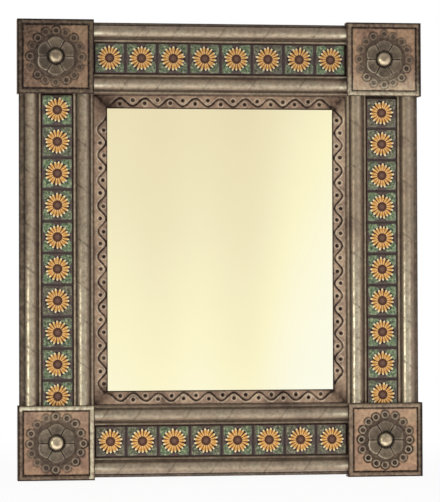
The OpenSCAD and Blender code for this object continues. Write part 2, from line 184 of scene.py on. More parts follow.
room = bpy.data.worlds.new("room")
bpy.context.scene.world = room
room.use_nodes = True
room.node_tree.nodes.clear()
air = room.node_tree
facing = shade(air, "SeparateXYZ", {0: shade(air, "TexCoord").outputs["Generated"]})
side_way, front_way, high_way = facing.outputs
turned = math_of(air, "ARCTAN2", side_way, times(air, front_way, -1.0))
turn_share = plus(air, times(air, turned, 1 / (2 * math.pi)), 0.5)
round_room = ramp(air, turn_share, greys(
    (0.0, 0.36), (0.25, 0.40), (0.34, 0.54), (0.40, 0.67), (0.45, 0.74), (0.522, 0.80),
    (0.617, 0.90), (0.70, 0.92), (0.78, 0.79), (0.88, 0.55), (1.0, 0.36)))
up_room = ramp(air, plus(air, times(air, high_way, 0.5), 0.5), greys(
    (0.0, 1.7), (0.05, 2.0), (0.1, 2.55), (0.16, 2.85), (0.24, 2.75), (0.34, 2.1),
    (0.45, 1.48), (0.545, 1.2), (0.63, 1.0), (0.75, 0.97), (1.0, 1.0)))
steep = eased(air, math_of(air, "ABSOLUTE", high_way), 0.35, 0.85)
room_glow = mixed(air, 1.0, mixed(air, steep, round_room, grey(1.0)), up_room, "MULTIPLY")

# The pale wall that the glass shows: brighter low down and to the right, in soft bands.
wall_bright = plus(air, times(air, high_way, -3.6), 0.629)
wall_bright = plus(air, wall_bright, eased(air, side_way, 0.145, 0.185, 0.0, 0.38))
soft_bands = math_of(air, "COSINE", times(air, plus(air, side_way, -0.126), 185.0))
wall_bright = plus(air, wall_bright, times(air, soft_bands, 0.03))
wall_glow = ramp(air, eased(air, wall_bright, 0.05, 1.15), tones(
    (0.0, 232, 217, 176), (0.4, 243, 234, 194), (0.65, 254, 247, 205),
    (1.0, 255, 255, 236),
))
wall_there = 1.0
for way, low, high in ((side_way, 0.02, 0.07), (side_way, 0.26, 0.20), (high_way, -0.12, -0.06),
                       (high_way, 0.16, 0.10), (front_way, 0.0, -0.3)):
    wall_there = times(air, eased(air, way, low, high), wall_there)
mirrored = mixed(air, wall_there, room_glow, wall_glow)
rays = shade(air, "LightPath")
soft_light = mixed(air, rays.outputs["Is Glossy Ray"], grey(0.76), mirrored)
seen = mixed(air, rays.outputs["Is Camera Ray"], soft_light, grey(1.0))
sky = shade(air, "Background", {"Color": seen})
air.links.new(sky.outputs[0], shade(air, "OutputWorld").inputs["Surface"])

floor_level = cad_box[0][2] - 0.5 * mm
bpy.ops.mesh.primitive_plane_add(size=30, location=(0, 0, floor_level))
floor = bpy.context.object
floor.name = "floor"
paper, tree = new_finish("white_paper")
far_off = shade(tree, "VectorMath", {0: shade(tree, "TexCoord").outputs["Object"]}, operation="LENGTH")
rays = shade(tree, "LightPath")
matt = shade(tree, "BsdfDiffuse", {"Color": grey(0.8)}).outputs[0]
white = shade(tree, "Emission", {"Color": grey(1.0), "Strength": 1.0}).outputs[0]
clear = shade(tree, "BsdfTransparent").outputs[0]
fade = eased(tree, far_off.outputs["Value"], 0.35, 1.3, 0.92, 1.0)
seen_floor = shade(tree, "MixShader", {0: fade, 1: matt, 2: white}).outputs[0]
lit_floor = shade(tree, "MixShader", {0: rays.outputs["Is Glossy Ray"], 1: matt, 2: clear}).outputs[0]
to_surface(tree, shade(tree, "MixShader", {0: rays.outputs["Is Camera Ray"], 1: lit_floor, 2: seen_floor}))
floor.data.materials.append(paper)


def lamp(name, place, target, width, height, watts, colour):
    """A soft rectangular light that looks at target."""
    data = bpy.data.lights.new(name, "AREA")
    data.shape = "RECTANGLE"
    data.size = width
    data.size_y = height
    data.energy = watts
    data.color = colour
    away = np.array(place, float) - np.array(target, float)
    away /= np.linalg.norm(away)
    across = np.cross((0.0, 0.0, 1.0), away)
    across /= np.linalg.norm(across)
    shown(name, data).matrix_world = standing(across, np.cross(away, across), away, place)


lamp("window", (-2.1, -1.15, -0.18), (0, 0, -0.14), 0.32, 0.46, 27, (0.95, 1.0, 0.90))
lamp("room_lamp", (2.1, -2.5, -0.1), (0, 0, 0), 1.6, 0.9, 13, (1.0, 0.98, 0.95))


# The rails
# Four strips of thin tin, each rolled and folded over a former: sloping shoulder, outer
# roll, bead, tile channel, bead, inner roll and sight bead. They are mitred and soldered.
sheet_half = 0.4
moulding_width = 110.1
cap_cover = 118.5
sides = ("top", "bottom", "left", "right")


def by_side(*values):
    """One value for each side, in the order above."""
    return dict(zip(sides, values))


shoulder_width = by_side(5.4, 5.4, 8.4, 8.4)
across_at = by_side("left", "left", "top", "top")
outer_roll_in = 10.0
inner_roll_in = 93.2
bead_places = (24.2, 79.8, 106.6)
bead_round = 1.8
ledge = 11.6
channel_floor = 7.4
crease_gap = 71
fold_lines = (20.3, 22.2, 26.2, 27.6, 76.4, 77.8, 82.0, 83.6, 102.8, 104.5, 108.9)


def box_of(node):
    """A node's lowest and highest corners, in millimetres."""
    return [np.array(corner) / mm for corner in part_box(node)]


low, high = box_of("rail_top")
frame_wide = high[0] - low[0]
low, high = box_of("rail_left")
frame_tall = high[2] - low[2]


def bow(middle, height, radius, start, stop, steps):
    """Points round part of a circle, from one angle to another in degrees."""
    angles = np.radians(np.linspace(start, stop, steps))
    return [(middle + radius * math.cos(a), height + radius * math.sin(a)) for a in angles]


def folded(path, radius):
    """Rounds the sharp corners of a bent sheet's middle line."""
    out = [path[0]]
    for before, here, after in zip(path, path[1:], path[2:]):
        before, here, after = np.array(before), np.array(here), np.array(after)
        into, out_of = here - before, after - here
        long_in, long_out = np.linalg.norm(into), np.linalg.norm(out_of)
        bend = math.acos(max(-1.0, min(1.0, float(into @ out_of) / (long_in * long_out))))
        if bend < math.radians(25):
            out.append(tuple(here))
            continue
        cut = min(radius * math.tan(bend / 2), 0.45 * long_in, 0.45 * long_out)
        first, last = here - into / long_in * cut, here + out_of / long_out * cut
        for t in (0.0, 0.33, 0.67, 1.0):
            out.append(tuple((1 - t) ** 2 * first + 2 * t * (1 - t) * here + t * t * last))
    out.append(path[-1])
    return np.array(out)


def spread(path, gap):
    """Puts more points on a path's long straight stretches."""
    out = [path[0]]
    for here, after in zip(path, path[1:]):
        steps = max(1, int(np.linalg.norm(after - here) / gap + 0.5))
        out += [here + (after - here) * k / steps for k in range(1, steps + 1)]
    return np.array(out)


def outward(path):
    """The direction square to the path, on its outer side, at each point."""
    along = np.gradient(path, axis=0)
    along /= np.linalg.norm(along, axis=1)[:, None]
    return np.column_stack([-along[:, 1], along[:, 0]])


def closed_mesh(name, points, faces, marks, finishes, smooth_below=38, glazes=None):
    """One piece. marks are values for its points, glazes the place of each face's finish."""
    mesh = bpy.data.meshes.new(name)
    mesh.from_pydata((np.asarray(points) * mm).tolist(), [], [list(map(int, f)) for f in faces])
    for key, values in marks.items():
        mark = mesh.attributes.new(key, "FLOAT", "POINT")
        mark.data.foreach_set("value", np.asarray(values, np.float32))
    for finish in finishes:
        mesh.materials.append(finish)
    if glazes:
        mesh.polygons.foreach_set("material_index", np.array(glazes, np.int32))
    shell = bmesh.new()
    shell.from_mesh(mesh)
    if not glazes:
        bmesh.ops.remove_doubles(shell, verts=shell.verts, dist=1e-6)
        bmesh.ops.dissolve_degenerate(shell, edges=shell.edges, dist=1e-7)
    bmesh.ops.recalc_face_normals(shell, faces=shell.faces)
    shell.to_mesh(mesh)
    shell.free()
    mesh.shade_smooth()
    mesh.set_sharp_from_angle(angle=math.radians(smooth_below))
    return shown(name, mesh)


def ring_walls(index):
    """Faces between rings of points that follow one another."""
    beside = np.roll(index, -1, axis=1)
    walls = np.stack([index[:-1], index[1:], beside[1:], beside[:-1]], axis=2)
    return walls.reshape(-1, 4).tolist()


def mitred_strip(length, path, cut, gap, moved, marked):
    """Sweeps a bent sheet along x. cut is the mitre's slope. moved and marked give, for a place along and
    across the strip, how far its face moves out and its marks: soot and painted shade, rubbed tin and
    painted highlights."""
    normals = outward(path)
    share = np.linspace(-1, 1, int(length / gap) + 1)[:, None]
    u = path[:, 0] + 0 * share
    h = path[:, 1] + 0 * share
    x = share * (length / 2 - u * cut)
    shift = moved(x, u, h)
    rings = []
    for half in (sheet_half, -sheet_half):
        at_u = u + normals[:, 0] * (half + shift)
        at_h = h + normals[:, 1] * (half + shift)
        rings.append(np.stack([share * (length / 2 - at_u * cut), at_u, at_h], axis=2))
    loop = np.concatenate([rings[0], rings[1][:, ::-1]], axis=1)
    rows, wide = loop.shape[:2]
    index = np.arange(rows * wide).reshape(rows, wide)
    faces = ring_walls(index) + [index[0].tolist(), index[-1][::-1].tolist()]
    back = np.zeros((rows, wide))
    back[:, wide // 2:] = 1
    marks = {"back": back.ravel()}
    for key, values in marked(x, u, h).items():
        values = np.clip(values, 0, 1)
        marks[key] = np.concatenate([values, 0 * values], axis=1).ravel()
    return loop.reshape(-1, 3), faces, marks


def stood_up(points, side, wide, tall):
    """Turns a strip drawn along the bottom edge to its own side of a frame of that size."""
    x, u, h = points.T
    placed = {
        "bottom": (x, -tall / 2 + u),
        "top": (-x, tall / 2 - u),
        "left": (-wide / 2 + u, -x),
        "right": (wide / 2 - u, x),
    }[side]
    return np.column_stack([placed[0], -h, placed[1]])


def bump_of(values, place, width):
    return np.exp(-((values - place) / width) ** 2)


def noise(tree, scale, detail, roughness=0.5):
    """A cloudy pattern that belongs to the piece's own place. scale is per metre."""
    place = shade(tree, "TexCoord").outputs["Object"]
    return shade(tree, "TexNoise", {
        "Vector": place, "Scale": scale, "Detail": detail, "Roughness": roughness}).outputs[0]


def mark_of(tree, name):
    """A value that the mesh carries at its points."""
    return shade(tree, "Attribute", attribute_name=name).outputs["Fac"]


def bumped(tree, height, strength):
    """The surface's direction, made uneven by a fine relief."""
    return shade(tree, "Bump", {"Height": height, "Strength": strength, "Distance": 0.0004}).outputs[0]


def aged_tin(name, tone, worn_and_sheen, dark, roughness, grainy=1.0):
    """Oxidised tin: blotched patina, black in the hollows and where the pieces mark painted shade, and
    bright worn tin on the crests and where they mark painted highlights.
    """
    made, tree = new_finish(name)
    cloud = noise(tree, 26.0, 5.0, 0.6)
    mottle = noise(tree, 170.0, 4.0, 0.65)
    pits = noise(tree, 900.0, 3.0, 0.6)
    soot_and_shade = mark_of(tree, "soot_and_shade")
    speckle = ramp(tree, mottle, greys((0.30, 1 - 0.30 * grainy), (0.50, 1.0), (0.72, 1 + 0.22 * grainy)))
    body = mixed(tree, 1.0, ramp(tree, cloud, tone), speckle, "MULTIPLY")
    body = mixed(tree, times(tree, mark_of(tree, "ash"), 0.75), body, paint(92, 80, 69))
    # The worn colour goes on rubbed crests and on the painted highlights that the pieces mark.
    rub_and_sheen = times(tree, mark_of(tree, "rub_and_sheen"), eased(tree, mottle, 0.34, 0.62, 0.35, 1.0))
    body = mixed(tree, rub_and_sheen, body, worn_and_sheen)
    # The dark colour goes on soot in the hollows and on the painted shade that the pieces mark.
    soot_and_shade_share = times(tree, soot_and_shade, eased(tree, mottle, 0.72, 0.36, 0.76, 1.0))
    body = mixed(tree, soot_and_shade_share, body, dark)
    unworn = ramp(tree, cloud, tones((0.35, 118, 112, 104), (0.65, 150, 144, 134)))
    body = mixed(tree, mark_of(tree, "back"), body, unworn)
    rough = eased(tree, mottle, 0.3, 0.7, roughness + 0.08, roughness - 0.06)
    rough = plus(tree, rough, times(tree, soot_and_shade, 0.45))
    rough = plus(tree, rough, times(tree, mark_of(tree, "shine"), -0.15))
    grain = plus(tree, times(tree, mottle, 0.8), pits)
    to_surface(tree, shade(tree, "BsdfPrincipled", {
        "Base Color": body, "Metallic": 0.7, "Roughness": rough,
        "Normal": bumped(tree, grain, 0.35 * grainy)}))
    return made


dark_tin = paint(36, 26, 21)
rail_tin = aged_tin("aged_rail_tin", tones(
    (0.30, 110, 92, 78), (0.48, 134, 115, 96), (0.60, 124, 109, 91),
    (0.75, 150, 131, 109),
), paint(194, 186, 162), dark_tin, 0.46, 0.6)

# Where each rail is darkened and brightened: soot and rubbed tin, painted shade on the shoulders and on the
# side rolls away from the window, and painted highlights where the window's light falls on the rolls and
# beside the caps.
shoulder_shade_edge = by_side(0.9, 0.9, 1.4, -0.6)
bead_sooted = by_side(0.16, 0.30, 0.0, 0.02)
bead_rubbed = by_side(0.14, 0.06, 0.22, 0.16)
roll_shade = by_side(0.0, 0.0, 0.13, 0.04)
roll_highlight = by_side(0.62, 0.62, 0.42, 0.62)
roll_smooth = by_side(1.0, 1.0, 0.7, 1.0)
window_side = by_side(2.6, 2.6, -2.6, 2.6)
lower_side = {"top": 3.2, "bottom": -0.5}


def rail_line(shoulder):
    """The middle line of a rail's sheet, from the rear flange to the sight lip."""
    def bead(place):
        middle = shoulder + place
        return ([(middle - bead_round, ledge)] + bow(middle, ledge + 0.4, bead_round, 176, 4, 9)
                + [(middle + bead_round, ledge)])

    line = [(14.0, 0.4), (0.4, 0.4), (0.4, 5.3), (shoulder, 10.3)]
    line += bow(shoulder + outer_roll_in, 10.5, 9.6, 180, 6.6, 26) + bead(bead_places[0])
    line += [(shoulder + 26.8, ledge), (shoulder + 26.8, channel_floor)]
    line += [(shoulder + 77.2, channel_floor), (shoulder + 77.2, ledge)]
    line += bead(bead_places[1]) + bow(shoulder + inner_roll_in, 10.5, 9.8, 173.5, 6.5, 26)
    line += bead(bead_places[2]) + [(shoulder + 109.7, ledge), (shoulder + 109.7, 10.0)]
    return spread(folded(line, 0.8), 3.0)


for number, side in enumerate(sides):
    chance = np.random.default_rng(41 + number)
    upright_rail = side in ("left", "right")
    rail_length = frame_tall if upright_rail else frame_wide
    shoulder = shoulder_width[side]
    cut = (shoulder_width[across_at[side]] + moulding_width) / (shoulder + moulding_width)
    phase = chance.uniform(0, 6.28, 6)
    creases = np.arange(-rail_length / 2 + 30, rail_length / 2, crease_gap)
    creases = creases + chance.uniform(-14, 14, len(creases))
    outer_roll = shoulder + outer_roll_in
    inner_roll = shoulder + inner_roll_in

    def creased(x, u):
        """Slanting marks that the former left round the rolls."""
        total = 0
        for along, middle in ((x, outer_roll), (x - 25, inner_roll)):
            near = np.minimum.reduce([abs(along - c - 0.75 * (u - middle)) for c in creases])
            total = total + bump_of(near, 0.0, 1.5) * (abs(u - middle) < 9.5)
        return total

    def on_beads(u, width):
        return sum(bump_of(u, shoulder + bead, width) for bead in bead_places)

    def on_rolls(u, aside, width):
        return bump_of(u, outer_roll + aside, width) + bump_of(u, inner_roll + aside, width)

    def rail_moved(x, u, h):
        wave = 0.12 * np.sin(x / 27 + u / 13 + phase[0]) + 0.04 * np.sin(x / 11 - u / 6 + phase[1])
        wave += 0.012 * np.sin(x / 4.1 + u / 3.1 + phase[2])
        return (h > 3.0) * (u > 1.0) * (wave - 0.2 * creased(x, u))

    def rail_marked(x, u, h):
        edge = shoulder + shoulder_shade_edge[side]
        soot_and_shade = 0.62 * sum(bump_of(u, shoulder + line, 0.6) for line in fold_lines)
        soot_and_shade = soot_and_shade + 0.7 * (u > shoulder + 27.1) * (u < shoulder + 76.9)
        # Painted shade: the sloping shoulder and its outer edge are darkened, most on the left rail.
        soot_and_shade = soot_and_shade + 0.52 * (u < edge) + 0.5 * bump_of(u, edge - 0.5, 0.9)
        soot_and_shade = soot_and_shade + 0.3 * (u < 1.0) * np.sign(h - 4.6)
        soot_and_shade = soot_and_shade + 0.35 * creased(x, u) + bead_sooted[side] * on_beads(u, 1.6)
        rub_and_sheen = bead_rubbed[side] * on_beads(u, 1.2) + 0.15 * on_rolls(u, 0.0, 4.0)
        low_down = 0 * x
        if upright_rail:
            low_down = x if side == "left" else -x
        else:
            # Painted highlights: bright streaks along the rolls, and on the beads at one end, next to the
            # caps.
            highlight_by_cap = bump_of(abs(x), rail_length / 2 - cap_cover, 20)
            rub_and_sheen = rub_and_sheen + 0.9 * highlight_by_cap * on_rolls(u, lower_side[side], 1.7)
            for bead in bead_places[:2]:
                rub_and_sheen = rub_and_sheen + 0.5 * highlight_by_cap * (x < 0) * bump_of(u, shoulder + bead, 1.0)
        shine = np.clip((low_down + 40) / 130, 0, 1) * (h > 10.0)
        # Painted highlight: the rolls' lit side takes the worn colour, strongest low on the side rails where
        # the window's light falls.
        lit = on_rolls(u, window_side[side], 5.5)
        rub_and_sheen = rub_and_sheen + roll_highlight[side] * shine * lit
        # Painted shade: the side rolls darken above the window's reach, and a little beside their painted
        # highlight.
        soot_and_shade = soot_and_shade + roll_shade[side] * (1 - shine) + 0.07 * shine * (1 - lit)
        if side == "left":
            # Painted shade on the outer flanks of the left rail's rolls, and painted highlights along their
            # crests.
            flank = bump_of(u, outer_roll - 6.5, 3.2) + bump_of(u, inner_roll - 6.5, 3.6)
            crest = bump_of(u, outer_roll + 1.0, 3.0) + bump_of(u, inner_roll + 3.3, 3.0)
            soot_and_shade = soot_and_shade + 0.34 * (1 - 0.6 * shine) * flank
            rub_and_sheen = rub_and_sheen + 0.22 * (1 - shine) * crest
        return {"soot_and_shade": soot_and_shade, "rub_and_sheen": rub_and_sheen, "shine": shine * lit * roll_smooth[side]}

    points, faces, marks = mitred_strip(
        rail_length, rail_line(shoulder), cut, 2.0, rail_moved, rail_marked)
    placed = stood_up(points, side, frame_wide, frame_tall)
    piece = closed_mesh("rolled_rail_" + side, placed, faces, marks, [rail_tin])
    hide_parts("rail_" + side)
    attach(piece, "mirror")


# The liners
# Four flat strips of tin round the glass, mitred at the corners. A wave line is chased
# into each with a tracer, with a punched dot in every hollow of the wave.
liner_full = 24.0
liner_tuck = 2.0
span_wide = frame_wide - 2 * (shoulder_width["left"] + moulding_width)
span_tall = frame_tall - 2 * (shoulder_width["top"] + moulding_width)
wave_length = 40.4
wave_height = 6.2
wave_middle = by_side(13.8, 13.8, 15.4, 14.6)
wave_shift = by_side(0.0, 0.0, 11.0, 6.0)
liner_side_sheen = by_side(0.0, 0.05, 0.08, 0.14)

liner_tin = aged_tin("chased_liner_tin", tones(
    (0.30, 100, 78, 64), (0.50, 138, 112, 93), (0.66, 161, 135, 110),
    (0.78, 138, 120, 98),
), paint(216, 200, 174), paint(32, 17, 10), 0.42)

liner_line = np.array([(0.4, 1.4), (0.4, 9.6), (23.6, 9.6), (23.6, 8.0)])
liner_line = spread(folded(liner_line, 0.7), 0.6)
for number, side in enumerate(sides):
    chance = np.random.default_rng(61 + number)
    liner_length = (span_wide if side in ("top", "bottom") else span_tall) + 2 * liner_tuck
    half_waves = int((liner_length - 2 * liner_full) // wave_length)
    phase = chance.uniform(0, 6.28, 4)
    shifted, centre = wave_shift[side], wave_middle[side]
    dot_places = [(shifted + k * wave_length / 2 + chance.normal(0, 0.7),
                   centre + (-3.0 if k % 2 else 2.2) + chance.normal(0, 0.45))
                  for k in range(-half_waves + 1, half_waves)]

    def from_wave(x, u):
        """Distance from the chased line, and 1 where the line runs."""
        turn = 2 * math.pi / wave_length
        along = x - shifted
        line = centre + 0.35 * np.sin(x / 17 + phase[0]) - wave_height * np.cos(turn * along)
        slope = wave_height * turn * np.sin(turn * along)
        reach = 1 / (1 + np.exp((abs(along) - half_waves * wave_length / 2) / 0.8))
        return (u - line) / np.sqrt(1 + slope * slope), reach

    def from_dot(x, u):
        return np.minimum.reduce([np.hypot(x - px, u - pu) for px, pu in dot_places])

    def liner_moved(x, u, h):
        off, reach = from_wave(x, u)
        dot = from_dot(x, u)
        cut = reach * (-0.50 * bump_of(off, 0.0, 1.1) + 0.16 * bump_of(abs(off), 2.2, 0.6))
        cut = cut - 0.60 * np.exp(-(dot / 2.6) ** 4) + 0.18 * bump_of(dot, 3.9, 0.6)
        dents = 0.05 * np.sin(x / 6.3 + u / 4 + phase[1]) + 0.05 * np.sin(x / 15 - u / 7 + phase[2])
        return (h > 9.3) * (cut + dents)

    def liner_marked(x, u, h):
        off, reach = from_wave(x, u)
        dot = from_dot(x, u)
        pressed = 1.1 + 0.3 * np.sin(x / 8 + phase[3]) * np.sin(x / 21 + phase[0])
        corner = np.clip((abs(x) + u - liner_length / 2 + 36) / 36, 0, 1) ** 1.5
        soot_and_shade = pressed * reach * bump_of(off, 0.0, 1.6) + 1.2 * np.exp(-(dot / 3.1) ** 4)
        soot_and_shade = soot_and_shade + bump_of(u, 2.2, 0.9) + 1.4 * bump_of(u, liner_full, 1.5) + 0.72 * corner
        # Painted shade: the top liner darkens towards its left end.
        if side == "top":
            soot_and_shade = soot_and_shade + 0.07 + 0.25 * np.clip((x - 100) / 60, 0, 1)
        # Chased edges rubbed bright; each liner is also brightened as a whole, most on the right and none on
        # the top: painted highlight.
        rub_and_sheen = 0.5 * reach * bump_of(off, -2.5, 0.9) + 0.5 * bump_of(dot, 4.2, 0.8) + liner_side_sheen[side]
        return {"soot_and_shade": soot_and_shade, "rub_and_sheen": rub_and_sheen * (1 - 0.7 * corner)}

    points, faces, marks = mitred_strip(liner_length, liner_line, 1.0, 0.7, liner_moved, liner_marked)
    placed = stood_up(points, side, span_wide + 2 * liner_tuck, span_tall + 2 * liner_tuck)
    piece = closed_mesh("chased_liner_" + side, placed, faces, marks, [liner_tin])
    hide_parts("liner_" + side)
    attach(piece, "mirror")


# The corner caps
# A tin lid over each mitre: the panel has a raised border with a scored line inside it,
# and sixteen eyes struck round it with a ring punch. Two sides hang down as deep skirts.
cap_step = 0.6
cap_sheet = 0.8
hem_drop = 1.2
border_rise = 2.0
border_middle = 4.55
border_half = 3.75
border_round = (border_half ** 2 + (border_rise + 0.2) ** 2) / (2 * (border_rise + 0.2))
flower_ring = 33.2
eye_count = 16
eye_ring = 4.9
eye_dot = 2.1
eye_edge = 7.3
skirt_low = 1.0
skirt_return = 2.9

corners = ("top_left", "top_right", "bottom_left", "bottom_right")


def by_corner(*values):
    """One value for each corner, in the order above."""
    return dict(zip(corners, values))


# Painted light for each corner: overall painted shade, painted highlight on the border's sides nearer the
# glass, painted shade near the outer corner, painted light towards the glass, and painted shade along the
# outer side edge.
corner_shade = by_corner(0.44, 0.24, 0.18, 0.13)
border_highlight = by_corner(0.15, 0.3, 1.0, 0.2)
struck_hard = by_corner(0.7, 0.8, 0.95, 1.15)
eye_circle = by_corner(41.0, 40.6, 42.2, 40.2)
eyes_dulled = by_corner(0.10, 0.24, 0.26, 0.34)
eyes_rubbed = by_corner(0.05, 0.20, 0.30, 0.36)
outer_corner_shade = by_corner(0.34, 0.08, 0.0, 0.0)
glassward_light = by_corner(0.05, 0.42, 0.08, 0.08)
outer_edge_shade = by_corner(2.4, 4.0, 2.6, 4.0)

cap_tin = aged_tin("cap_tin", tones(
    (0.30, 112, 85, 71), (0.46, 150, 119, 98), (0.60, 170, 137, 109),
    (0.74, 146, 126, 102),
), paint(206, 200, 172), paint(32, 25, 22), 0.44)

for number, corner in enumerate(corners):
    chance = np.random.default_rng(81 + number)
    low, high = box_of("cap_" + corner)
    cap_front = -low[1] - border_rise
    cap_under = cap_front - cap_sheet
    wide, tall = high[0] - low[0], high[2] - low[2]

    # a and b run over the panel from its outer corner towards the glass
    a, b = np.meshgrid(np.linspace(0, wide, int(wide / cap_step) + 1),
                       np.linspace(0, tall, int(tall / cap_step) + 1), indexing="ij")
    edge = np.minimum(np.minimum(a, wide - a), np.minimum(b, tall - b))
    off = np.clip(abs(edge - border_middle), 0, border_half)
    height = cap_front + np.sqrt(border_round ** 2 - off ** 2) - (border_round - border_rise)
    height = np.maximum(height, cap_front) - 0.45 * bump_of(edge, 9.0, 0.75)
    height -= 0.8 * (1 - np.sqrt(np.clip(1 - np.clip(1 - edge / 0.9, 0, 1) ** 2, 0, 1)))
    inside = np.clip((edge - 10.5) / 3, 0, 1)
    phase = chance.uniform(0, 6.28, 4)
    dents = 0.12 * np.sin(a / 11 + b / 17 + phase[0]) + 0.10 * np.sin(b / 9 - a / 23 + phase[1])
    height += inside * dents + 0.04 * np.sin(a / 3.7 + phase[2]) * np.sin(b / 4.3 + phase[3])

    # Soot in the scored line, painted shade along the panel's outer edges and over the whole cap, rubbed tin
    # on the border with painted highlights on its sides nearer the glass
    soot_and_shade = bump_of(edge, 8.8, 1.2) + bump_of(edge, 0.0, 1.1) + corner_shade[corner]
    # Painted shade: a black band along the outer side edge and along the outer end edge.
    soot_and_shade += 1.2 * np.exp(-(a / outer_edge_shade[corner]) ** 4) + np.exp(-(b / 2.0) ** 4)
    # Painted shade near the panel's outer corner, strongest on the top left cap.
    soot_and_shade += outer_corner_shade[corner] * (edge > 8.5) * np.exp(-(a ** 2 + b ** 2) / 55 ** 2)
    # Painted highlight: the border's two sides nearer the glass are brightened, most on the bottom left cap;
    # the other border sides get painted shade.
    bright_side = border_highlight[corner] * (np.minimum(wide - a, tall - b) < 9.0)
    # Painted light: the panel brightens towards the glass, most on the top right cap.
    toward_glass = glassward_light[corner] * bump_of(b, tall, 32)
    rub_and_sheen = np.maximum(0.14, bright_side) * bump_of(edge, border_middle, 2.3 + 0.5 * border_highlight[corner])
    rub_and_sheen += toward_glass
    soot_and_shade += 0.32 * (1 - bright_side) * (edge < 8.2) - 0.6 * toward_glass

    # The round seat of the flower, its ring darkened by soot and by painted shade of the flower's edge, and
    # the eyes struck about it
    from_middle = np.hypot(a - wide / 2, b - tall / 2)
    height -= 0.4 * bump_of(from_middle, flower_ring, 1.6)
    soot_and_shade += 0.05 * np.clip((36.5 - from_middle) / 2.5, 0, 1) + 0.12 * bump_of(from_middle, 34.0, 2.4)
    ringed = np.clip((eye_circle[corner] - from_middle) / 2 + 0.5, 0, 1)
    for k in range(eye_count):
        angle = (k + chance.normal(0, 0.05)) * 2 * math.pi / eye_count
        far = eye_circle[corner] + chance.normal(0, 0.5)
        across_a = a - (wide / 2 + far * math.cos(angle))
        across_b = b - (tall / 2 + far * math.sin(angle))
        struck = chance.uniform(0.45, 1.1) * struck_hard[corner]
        r = np.hypot(across_a, across_b)
        away = (across_a * math.cos(angle) + across_b * math.sin(angle)) / np.maximum(r, 0.1)
        outer = np.clip(0.55 + 0.75 * away, 0, 1)
        ring = bump_of(r, eye_ring, 1.1)
        height += struck * (0.75 * ring - 0.7 * bump_of(r, eye_dot, 1.1))
        height -= struck * 0.55 * outer * bump_of(r, eye_edge, 0.9)
        soot_and_shade += struck * (0.62 * bump_of(r, 2.0, 1.1) + 0.85 * outer * bump_of(r, eye_edge, 1.15))
        soot_and_shade -= 0.35 * struck * ring
        rub_and_sheen += eyes_rubbed[corner] * struck * bump_of(r, eye_ring, 1.0)
        ringed = np.maximum(ringed, np.clip((7.0 - r) / 1.5, 0, 1))
    soot_and_shade += eyes_dulled[corner] * ringed
    ash = np.maximum(0.85 * ringed, 0.45 * (edge < 8.0))
    height = np.minimum(height, cap_front + border_rise)

    # The panel, then rings that go down its skirts and hems and back up inside
    index = np.arange(a.size).reshape(a.shape)
    panel = np.stack([index[:-1, :-1], index[1:, :-1], index[1:, 1:], index[:-1, 1:]], axis=2)
    rim = np.concatenate([index[:-1, 0], index[-1, :-1], index[:0:-1, -1], index[0, :0:-1]])
    rim_a, rim_b, rim_h = a.ravel()[rim], b.ravel()[rim], height.ravel()[rim]
    at_skirt = (rim_a < skirt_return) | (rim_b < skirt_return)
    bottom = np.where(at_skirt, skirt_low, cap_under - hem_drop)
    inward = np.where(at_skirt, skirt_return, cap_sheet)
    rings = [(0, rim_h - (rim_h - bottom) * t) for t in (0.06, 0.25, 0.5, 0.75, 0.96)]
    rings += [(0.3, bottom), (inward, bottom), (inward, bottom + 0.8), (0.8, bottom + 0.85)]
    rings += [(0.8, cap_under + 0 * bottom)]
    points = [np.column_stack([a.ravel(), b.ravel(), height.ravel()])]
    faces = panel.reshape(-1, 4).tolist()
    last, total = rim, a.size
    for inset, level_h in rings:
        dent = 0.12 * np.sin(rim_a / 13 + phase[0]) * np.sin(rim_b / 15 + phase[1])
        dent = dent * (np.max(inset) == 0)
        ring_a = np.clip(rim_a, inset + dent * (rim_a < 1), wide - inset)
        ring_b = np.clip(rim_b, inset + dent * (rim_b < 1), tall - inset)
        points.append(np.column_stack([ring_a, ring_b, level_h]))
        new = total + np.arange(len(rim))
        total += len(rim)
        faces += np.stack([last, np.roll(last, -1), np.roll(new, -1), new], axis=1).tolist()
        last = new
    points = np.concatenate(points + [[[wide / 2, tall / 2, cap_under]]])
    faces += [[p, q, total] for p, q in zip(last, np.roll(last, -1))]
    beyond = np.zeros(len(points) - a.size)
    # Painted shade: the skirts, hems and inside of the cap are darkened all over.
    marks = {
        "soot_and_shade": np.clip(np.concatenate([soot_and_shade.ravel(), beyond + 0.6]), 0, 1),
        "rub_and_sheen": np.clip(np.concatenate([rub_and_sheen.ravel(), beyond]), 0, 1),
        "ash": np.concatenate([ash.ravel(), beyond]),
    }
    x = low[0] + points[:, 0] if "left" in corner else high[0] - points[:, 0]
    z = high[2] - points[:, 1] if "top" in corner else low[2] + points[:, 1]
    placed = np.column_stack([x, -points[:, 2], z])
    piece = closed_mesh("cap_" + corner + "_lid", placed, faces, marks, [cap_tin])
    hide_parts("cap_" + corner)
    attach(piece, "mirror")


# The pressed flowers
# Six wide petals are pressed and dished from one round of tin, with a cut between each
# two. The flower sits flat on the cap's panel, and the boss holds it.
petal_reach = 15.0
petal_round = 16.0
petal_rise = 3.2
seat_rise = 1.6
well = 11.2

flower_tin = aged_tin("pressed_flower_tin", tones(
    (0.30, 68, 57, 49), (0.50, 93, 80, 66), (0.68, 113, 99, 81),
    (0.80, 92, 81, 70),
), paint(186, 172, 150), paint(24, 17, 14), 0.40)
rim_highlight = by_corner(0.9, 0.9, 0.3, 0.8)
petals_rubbed = by_corner(0.0, 0.03, 0.16, 0.04)


def round_angles(steps):
    return np.linspace(0, 2 * math.pi, steps, endpoint=False)


def ring_at(angle, r, height):
    """A ring of points about the middle of a piece that lies face up."""
    return np.column_stack([r * np.cos(angle), r * np.sin(angle), height + 0 * angle])


